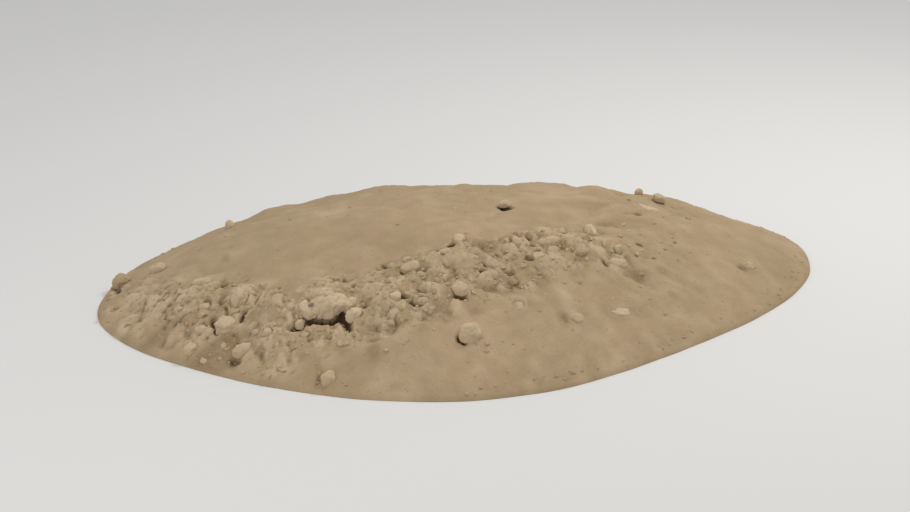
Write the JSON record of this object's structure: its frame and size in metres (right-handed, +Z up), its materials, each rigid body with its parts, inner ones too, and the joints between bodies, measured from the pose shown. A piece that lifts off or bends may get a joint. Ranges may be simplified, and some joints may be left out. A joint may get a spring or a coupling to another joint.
{
  "type": "termite mound",
  "caption": "Low, broad termite mound of dry clay soil, cut off flat at the ground, with loose clods and rubble across one flank.",
  "frame": {"origin": "middle of the box around the mound, on the flat cut at ground level", "axes": "+X along the mound's long axis, +Y towards its smooth back, +Z up"},
  "size_m": [1.5632, 1.0984, 0.1979],
  "materials": {
    "mound_clay": "dry, matt, sun-baked tan clay with fine grit",
    "clod_clay": "dry, matt, paler broken clay"
  },
  "bodies": {
    "root": {"mound": "mound_clay", "main_clod": "clod_clay", "clod_bright": "clod_clay", "clod_prop": "clod_clay", "clod_left_toe": "clod_clay", "clod_slanted": "clod_clay", "clod_round": "clod_clay", "clod_crescent": "clod_clay", "clod_left_small": "clod_clay", "clod_left_bar": "clod_clay", "clod_toe_1": "clod_clay", "clod_toe_2": "clod_clay", "clod_toe_3": "clod_clay", "clod_left_ridge": "clod_clay", "clod_peak": "clod_clay", "clod_middle_1": "clod_clay", "clod_middle_2": "clod_clay", "clod_middle_3": "clod_clay", "clod_upper_1": "clod_clay", "clod_upper_2": "clod_clay", "clod_leaning": "clod_clay", "clod_right_1": "clod_clay", "clod_right_2": "clod_clay", "clod_right_slab": "clod_clay", "clod_ridge_1": "clod_clay", "clod_ridge_2": "clod_clay", "clod_front": "clod_clay", "clod_front_pale_1": "clod_clay", "clod_front_pale_2": "clod_clay", "clod_front_pale_3": "clod_clay", "clod_far_right": "clod_clay", "crust_plate": "clod_clay", "clod_crest_slab": "clod_clay", "clod_crest_small": "clod_clay", "clod_low_left": "clod_clay", "clod_back_1": "clod_clay", "clod_back_2": "clod_clay", "clod_back_3": "clod_clay", "clod_back_4": "clod_clay", "clod_back_5": "clod_clay", "clod_back_6": "clod_clay", "clod_back_7": "clod_clay"}
  },
  "joints": []
}
